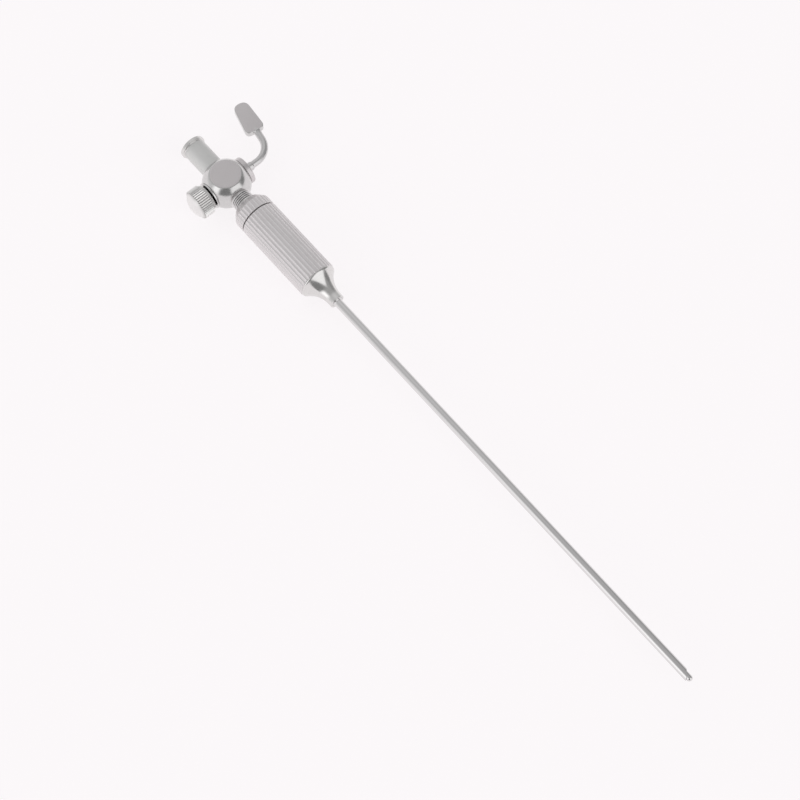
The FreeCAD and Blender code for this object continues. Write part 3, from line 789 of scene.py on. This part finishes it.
def pass_over(behind, ahead, start, end):
    """Goes from one brightness to another as the direction's X rises from start to end."""
    share = room_nodes.new("ShaderNodeMapRange")
    share.interpolation_type = "SMOOTHSTEP"
    share.inputs["From Min"].default_value = start
    share.inputs["From Max"].default_value = end
    room_links.new(room_parts.outputs["X"], share.inputs["Value"])
    blend = room_nodes.new("ShaderNodeMix")
    room_links.new(share.outputs["Result"], blend.inputs["Factor"])
    room_links.new(behind, blend.inputs["A"])
    room_links.new(ahead, blend.inputs["B"])
    return blend.outputs["Result"]


def hang_sheet(outside, middle, reach, brightness):
    """Puts a bright sheet across the room ahead, with soft edges.

    The direction's Y and Z, less the middle and divided by the reach, are squared and added up. The
    sheet is full where that is below 0.75, and gone above 1.3.
    """
    total = None
    for axis, centre, half in zip("YZ", middle, reach):
        away = room_nodes.new("ShaderNodeMath")
        away.operation = "MULTIPLY_ADD"
        away.inputs[1].default_value = 1 / half
        away.inputs[2].default_value = -centre / half
        room_links.new(room_parts.outputs[axis], away.inputs[0])
        square = room_nodes.new("ShaderNodeMath")
        square.operation = "MULTIPLY_ADD"
        square.inputs[2].default_value = 0
        room_links.new(away.outputs[0], square.inputs[0])
        room_links.new(away.outputs[0], square.inputs[1])
        if total is not None:
            room_links.new(total, square.inputs[2])
        total = square.outputs[0]
    share = room_nodes.new("ShaderNodeMapRange")
    share.interpolation_type = "SMOOTHSTEP"
    share.inputs["From Min"].default_value = 1.3
    share.inputs["From Max"].default_value = 0.75
    room_links.new(total, share.inputs["Value"])
    blend = room_nodes.new("ShaderNodeMix")
    room_links.new(share.outputs["Result"], blend.inputs["Factor"])
    room_links.new(outside, blend.inputs["A"])
    blend.inputs["B"].default_value = brightness / room_level
    return blend.outputs["Result"]


room_rear = light_wall([(-180, 0.8), (-90, 0.75), (-72, 0.62), (-50, 0.6), (-25, 0.7), (0, 0.7), (20, 0.6),
                        (40, 0.57), (60, 0.63), (80, 0.75), (105, 0.88), (180, 0.8)])
room_over = light_wall([(-180, 0.8), (-90, 0.6), (-74, 0.36), (-58, 0.3), (-44, 0.38), (-20, 0.42),
                        (16, 0.42), (32, 0.52), (45, 0.9), (60, 1.42), (85, 1.3), (100, 0.7), (180, 0.8)])
room_front = light_wall([(-180, 0.8), (-110, 0.7), (-92, 0.32), (-68, 0.25), (-50, 0.38), (0, 0.38),
                         (20, 0.32), (34, 0.25), (82, 0.25), (95, 0.5), (180, 0.8)])
room_front = hang_sheet(room_front, middle=(0.15, 0.17), reach=(0.44, 0.72), brightness=1.1)
room_light = pass_over(room_rear, room_over, start=-0.33, end=-0.1)
room_light = pass_over(room_light, room_front, start=0.18, end=0.42)
room_strength = room_nodes.new("ShaderNodeMath")
room_strength.operation = "MULTIPLY"
room_strength.inputs[1].default_value = room_level
room_links.new(room_light, room_strength.inputs[0])
room_rays = room_nodes.new("ShaderNodeLightPath")
room_seen = room_nodes.new("ShaderNodeMix")
room_links.new(room_rays.outputs["Is Camera Ray"], room_seen.inputs["Factor"])
room_links.new(room_strength.outputs[0], room_seen.inputs["A"])
room_seen.inputs["B"].default_value = room_shown
room_links.new(room_seen.outputs["Result"], room_nodes["Background"].inputs["Strength"])
room_nodes["Background"].inputs["Color"].default_value = (1, 0.995, 1, 1)


# The camera looks down on the table from the photograph's height and side, through a long lens. Its
# places are in metres.
view_from = Vector((0.22164, -0.16537, 0.55289))
view_to = Vector((0.03197, -0.00439, -0.00587))
view_lens = bpy.data.cameras.new("camera")
view_lens.lens = 100
view_lens.sensor_width = 36
view_lens.clip_start = 0.01
camera = bpy.data.objects.new("camera", view_lens)
camera.location = view_from
camera.rotation_euler = (view_to - view_from).to_track_quat("-Z", "Y").to_euler()
bpy.context.scene.collection.objects.link(camera)
bpy.context.scene.camera = camera
bpy.context.scene.view_settings.view_transform = "Standard"
